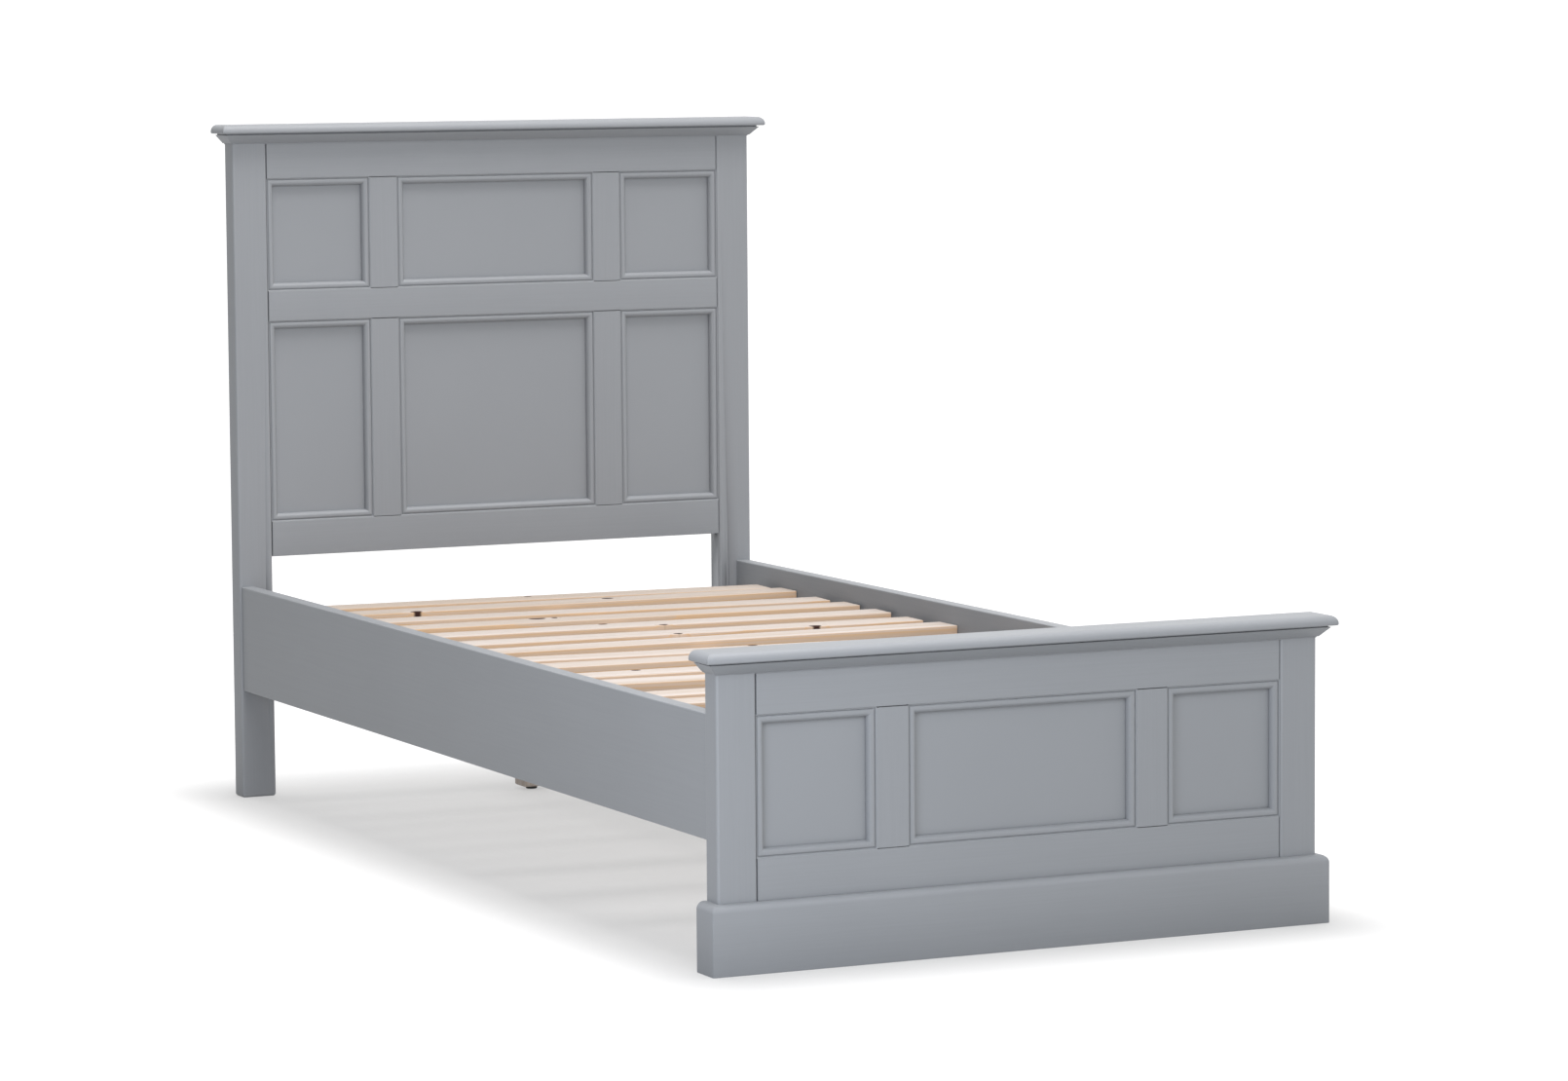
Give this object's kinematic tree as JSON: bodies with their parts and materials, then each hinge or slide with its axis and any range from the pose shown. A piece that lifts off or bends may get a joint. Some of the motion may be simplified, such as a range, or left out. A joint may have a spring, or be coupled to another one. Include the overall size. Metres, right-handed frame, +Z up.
{
  "type": "panel bed",
  "caption": "Single panel bed: tall framed headboard, low framed footboard on a plinth, side rails, loose slats and a centre rail on legs with levelling feet.",
  "frame": {"origin": "on the floor, in the middle of the bed's overall width and length", "axes": "+Z up, +Y from the footboard to the headboard, +X to the right of someone who faces the headboard"},
  "size_m": [1.019, 2.029, 1.1595],
  "materials": {
    "painted_timber": "grey satin lacquer sprayed on solid timber",
    "painted_panel": "grey satin lacquer sprayed on fibreboard",
    "pine_slat": "planed and sanded, left bare",
    "planed_pine": "planed, left bare",
    "zinc_plated_steel": "bright zinc plate",
    "black_nylon": "moulded, matt"
  },
  "bodies": {
    "bed_frame": {"bracket_screws": "zinc_plated_steel", "centre_leg_foot": "planed_pine", "centre_leg_head": "planed_pine", "centre_rail": "planed_pine", "centre_rail_screws": "zinc_plated_steel", "corner_brackets": "zinc_plated_steel", "foot_beads": "painted_timber", "foot_bottom_rail": "painted_timber", "foot_cap": "painted_timber", "foot_cornice": "painted_timber", "foot_panel_left": "painted_panel", "foot_panel_middle": "painted_panel", "foot_panel_right": "painted_panel", "foot_post_left": "painted_timber", "foot_post_right": "painted_timber", "foot_stile_left": "painted_timber", "foot_stile_right": "painted_timber", "foot_top_rail": "painted_timber", "head_beads": "painted_timber", "head_bottom_rail": "painted_timber", "head_cap": "painted_timber", "head_cornice": "painted_timber", "head_mid_rail": "painted_timber", "head_panel_lower_left": "painted_panel", "head_panel_lower_middle": "painted_panel", "head_panel_lower_right": "painted_panel", "head_panel_upper_left": "painted_panel", "head_panel_upper_middle": "painted_panel", "head_panel_upper_right": "painted_panel", "head_post_left": "painted_timber", "head_post_right": "painted_timber", "head_stile_lower_left": "painted_timber", "head_stile_lower_right": "painted_timber", "head_stile_upper_left": "painted_timber", "head_stile_upper_right": "painted_timber", "head_top_rail": "painted_timber", "ledger_screws": "zinc_plated_steel", "leg_inserts": "zinc_plated_steel", "plinth": "painted_timber", "side_rail_left": "painted_timber", "side_rail_right": "painted_timber", "slat_01": "pine_slat", "slat_02": "pine_slat", "slat_03": "pine_slat", "slat_04": "pine_slat", "slat_05": "pine_slat", "slat_06": "pine_slat", "slat_07": "pine_slat", "slat_08": "pine_slat", "slat_09": "pine_slat", "slat_10": "pine_slat", "slat_11": "pine_slat", "slat_12": "pine_slat", "slat_13": "pine_slat", "slat_14": "pine_slat", "slat_15": "pine_slat", "slat_ledger_left": "planed_pine", "slat_ledger_right": "planed_pine"},
    "head_leveller": {"leveller_head": "black_nylon"},
    "foot_leveller": {"leveller_foot": "black_nylon"}
  },
  "joints": [
    {"name": "head_leveller_travel", "type": "slide", "parent": "bed_frame", "child": "head_leveller", "axis": [0, 0, -1], "range_m": [0, 0.012]},
    {"name": "foot_leveller_travel", "type": "slide", "parent": "bed_frame", "child": "foot_leveller", "axis": [0, 0, -1], "range_m": [0, 0.012]}
  ]
}
